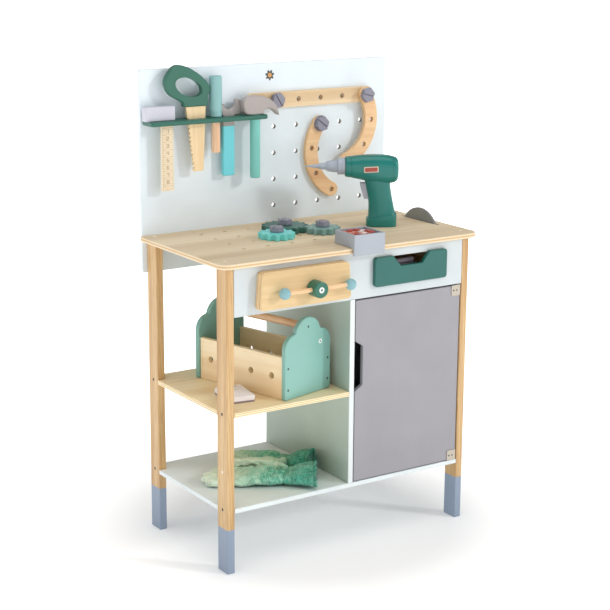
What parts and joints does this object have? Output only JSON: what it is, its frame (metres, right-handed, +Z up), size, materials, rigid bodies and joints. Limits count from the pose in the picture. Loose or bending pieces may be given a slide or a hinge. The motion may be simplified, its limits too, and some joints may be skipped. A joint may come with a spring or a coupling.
{
  "type": "toy workbench",
  "caption": "Wooden toy workbench with pegboard, hanging tools, cupboard, drawer, front vise, meshing gears, power drill, tool box, parts box and work gloves.",
  "frame": {"origin": "on the floor at the centre of the set's width and depth", "axes": "+Z up, +X to the right along the front, +Y from the front towards the pegboard"},
  "size_m": [0.592, 0.369, 0.9286],
  "materials": {
    "mint_white_paint": "smooth satin paint, mint white",
    "pine": "clear varnished pine, blue-grey painted feet",
    "plywood": "clear varnished plywood",
    "door_paint": "smooth satin paint, warm grey",
    "dark_green_paint": "smooth satin paint, dark green",
    "drawer_paint": "smooth satin paint, green",
    "lilac_paint": "smooth satin paint, pale lilac",
    "bolt_paint": "satin paint, lilac grey",
    "tool_grey_paint": "satin paint, warm grey",
    "light_teal_paint": "satin paint, light teal",
    "cyan_paint": "satin paint, cyan with a grey head",
    "teal_paint": "satin paint, teal",
    "blue_paint": "satin paint, dusty blue",
    "turquoise_paint": "satin paint, turquoise",
    "gear_green_paint": "satin paint, deep green",
    "gear_teal_paint": "satin paint, grey teal",
    "disc_paint": "satin paint, grey",
    "drill_paint": "satin paint, strong green",
    "hinge_steel": "plain zinc-plated steel",
    "mint_paint": "satin paint, mint green",
    "box_grey_paint": "satin paint, blue grey",
    "knit": "knitted wool, green and mint"
  },
  "bodies": {
    "bench": {"leg_front_left": "pine", "leg_front_right": "pine", "leg_rear_left": "pine", "leg_rear_right": "pine", "worktop": "plywood", "pegboard": "mint_white_paint", "front_apron": "mint_white_paint", "middle_shelf": "plywood", "bottom_shelf": "mint_white_paint", "divider": "mint_white_paint", "cabinet_side": "mint_white_paint", "cabinet_back": "mint_white_paint", "drawer_shelf": "mint_white_paint", "vise_fixed_jaw": "plywood", "tool_rack": "dark_green_paint", "straight_bar": "plywood", "board_nut_left": "bolt_paint", "board_nut_middle": "bolt_paint", "board_nut_right": "bolt_paint", "saw_axle": "bolt_paint"},
    "drawer": {"drawer_front": "drawer_paint", "drawer_tray": "plywood"},
    "door": {"door": "door_paint", "door_hinge_top": "hinge_steel", "door_hinge_bottom": "hinge_steel"},
    "vise_jaw": {"vise_moving_jaw": "plywood"},
    "vise_screw": {"vise_screw": "dark_green_paint"},
    "vise_handle": {"vise_handle": "blue_paint"},
    "saw_disc": {"saw_disc": "disc_paint"},
    "gear_green": {"gear_green": "gear_green_paint"},
    "gear_turquoise": {"gear_turquoise": "turquoise_paint"},
    "gear_teal": {"gear_teal": "gear_teal_paint"},
    "gear_screw_green": {"gear_screw_green": "bolt_paint"},
    "gear_screw_turquoise": {"gear_screw_turquoise": "bolt_paint"},
    "gear_screw_teal": {"gear_screw_teal": "bolt_paint"},
    "board_bolt_left": {"board_bolt_left": "bolt_paint"},
    "board_bolt_middle": {"board_bolt_middle": "bolt_paint"},
    "board_bolt_right": {"board_bolt_right": "bolt_paint"},
    "curved_bar_left": {"curved_bar_left": "plywood"},
    "curved_bar_right": {"curved_bar_right": "plywood"},
    "try_square": {"square_stock": "lilac_paint", "square_blade": "plywood"},
    "saw": {"saw_handle": "dark_green_paint", "saw_blade": "plywood"},
    "screwdriver": {"screwdriver_handle": "light_teal_paint", "screwdriver_shaft": "pine"},
    "wrench": {"wrench": "cyan_paint"},
    "hammer": {"hammer_head": "tool_grey_paint", "hammer_handle": "teal_paint"},
    "drill": {"drill_body": "drill_paint"},
    "drill_chuck": {"drill_chuck": "bolt_paint"},
    "drill_trigger": {"drill_trigger": "bolt_paint"},
    "toolbox": {"toolbox_tray": "plywood", "toolbox_end_front": "mint_paint", "toolbox_end_rear": "mint_paint", "toolbox_dowel": "pine"},
    "parts_box": {"parts_box": "box_grey_paint"},
    "sanding_block": {"sanding_block": "lilac_paint"},
    "glove_front": {"glove_front": "knit"},
    "glove_rear": {"glove_rear": "knit"}
  },
  "joints": [
    {"name": "drawer_slide", "type": "slide", "parent": "bench", "child": "drawer", "axis": [0, -1, 0], "range_m": [0, 0.17]},
    {"name": "door_swing", "type": "hinge", "parent": "bench", "child": "door", "pos_m": [0.2577, -0.132, 0], "axis": [0, 0, 1], "range_deg": [0, 90]},
    {"name": "vise_jaw_slide", "type": "slide", "parent": "bench", "child": "vise_jaw", "axis": [0, -1, 0], "range_m": [0, 0.04]},
    {"name": "vise_screw_turn", "type": "hinge", "parent": "vise_jaw", "child": "vise_screw", "pos_m": [-0.1045, -0.1845, 0.5385], "axis": [0, -1, 0], "range_deg": [0, 1800]},
    {"name": "vise_handle_slide", "type": "slide", "parent": "vise_screw", "child": "vise_handle", "axis": [1, 0, 0], "range_m": [-0.047, 0.047]},
    {"name": "saw_disc_spin", "type": "hinge", "parent": "bench", "child": "saw_disc", "pos_m": [0.273, 0.0135, 0.562], "axis": [1, 0, 0], "continuous": true},
    {"name": "gear_green_spin", "type": "hinge", "parent": "bench", "child": "gear_green", "pos_m": [-0.0255, 0.064, 0.6003], "axis": [0, 0, 1], "continuous": true},
    {"name": "gear_turquoise_spin", "type": "hinge", "parent": "bench", "child": "gear_turquoise", "pos_m": [-0.079, 0.0105, 0.6003], "axis": [0, 0, 1], "continuous": true},
    {"name": "gear_teal_spin", "type": "hinge", "parent": "bench", "child": "gear_teal", "pos_m": [0.028, 0.0105, 0.6003], "axis": [0, 0, 1], "continuous": true},
    {"name": "gear_screw_green_turn", "type": "hinge", "parent": "bench", "child": "gear_screw_green", "pos_m": [-0.0255, 0.064, 0.6129], "axis": [0, 0, 1], "continuous": true},
    {"name": "gear_screw_turquoise_turn", "type": "hinge", "parent": "bench", "child": "gear_screw_turquoise", "pos_m": [-0.079, 0.0105, 0.6129], "axis": [0, 0, 1], "continuous": true},
    {"name": "gear_screw_teal_turn", "type": "hinge", "parent": "bench", "child": "gear_screw_teal", "pos_m": [0.028, 0.0105, 0.6129], "axis": [0, 0, 1], "continuous": true},
    {"name": "board_bolt_left_turn", "type": "hinge", "parent": "bench", "child": "board_bolt_left", "pos_m": [0.0127, 0.1554, 0.8468], "axis": [0, -1, 0], "continuous": true},
    {"name": "board_bolt_middle_turn", "type": "hinge", "parent": "bench", "child": "board_bolt_middle", "pos_m": [0.1197, 0.1554, 0.7933], "axis": [0, -1, 0], "continuous": true},
    {"name": "board_bolt_right_turn", "type": "hinge", "parent": "bench", "child": "board_bolt_right", "pos_m": [0.2267, 0.1456, 0.8468], "axis": [0, -1, 0], "continuous": true},
    {"name": "curved_bar_left_swing", "type": "hinge", "parent": "bench", "child": "curved_bar_left", "pos_m": [0.1197, 0.1557, 0.7933], "axis": [0, 1, 0], "range_deg": [-40, 40]},
    {"name": "curved_bar_right_swing", "type": "hinge", "parent": "bench", "child": "curved_bar_right", "pos_m": [0.2267, 0.1459, 0.8468], "axis": [0, 1, 0], "range_deg": [-30, 30]},
    {"name": "try_square_lift", "type": "slide", "parent": "bench", "child": "try_square", "axis": [0, 0, 1], "range_m": [0, 0.012]},
    {"name": "saw_lift", "type": "slide", "parent": "bench", "child": "saw", "axis": [0, 0, 1], "range_m": [0, 0.12]},
    {"name": "screwdriver_lift", "type": "slide", "parent": "bench", "child": "screwdriver", "axis": [0, 0, 1], "range_m": [0, 0.08]},
    {"name": "wrench_lift", "type": "slide", "parent": "bench", "child": "wrench", "axis": [0, 0, 1], "range_m": [0, 0.13]},
    {"name": "hammer_lift", "type": "slide", "parent": "bench", "child": "hammer", "axis": [0, 0, 1], "range_m": [0, 0.14]},
    {"name": "drill_lift", "type": "slide", "parent": "bench", "child": "drill", "axis": [0, 0, 1], "range_m": [0, 0.15]},
    {"name": "drill_chuck_spin", "type": "hinge", "parent": "drill", "child": "drill_chuck", "pos_m": [0.10392, 0.04465, 0.7213], "axis": [-0.866, 0.5, 0], "continuous": true},
    {"name": "drill_trigger_press", "type": "slide", "parent": "drill", "child": "drill_trigger", "axis": [0.866, -0.5, 0], "range_m": [0, 0.004], "stiffness_N_per_m": 200},
    {"name": "toolbox_slide", "type": "slide", "parent": "bench", "child": "toolbox", "axis": [0.2588, -0.9659, 0], "range_m": [0, 0.2]},
    {"name": "parts_box_lift", "type": "slide", "parent": "bench", "child": "parts_box", "axis": [0, 0, 1], "range_m": [0, 0.06]},
    {"name": "sanding_block_slide", "type": "slide", "parent": "bench", "child": "sanding_block", "axis": [0, -1, 0], "range_m": [0, 0.1]},
    {"name": "glove_front_slide", "type": "slide", "parent": "bench", "child": "glove_front", "axis": [0, -1, 0], "range_m": [0, 0.15]},
    {"name": "glove_rear_slide", "type": "slide", "parent": "bench", "child": "glove_rear", "axis": [0, 1, 0], "range_m": [0, 0.2]}
  ],
  "couplings": [
    {"joint": "vise_jaw_slide", "follows": "vise_screw_turn", "m_per_rad": 0.0012732},
    {"joint": "gear_turquoise_spin", "follows": "gear_green_spin", "ratio": -1.3333},
    {"joint": "gear_teal_spin", "follows": "gear_green_spin", "ratio": -1.3333}
  ]
}
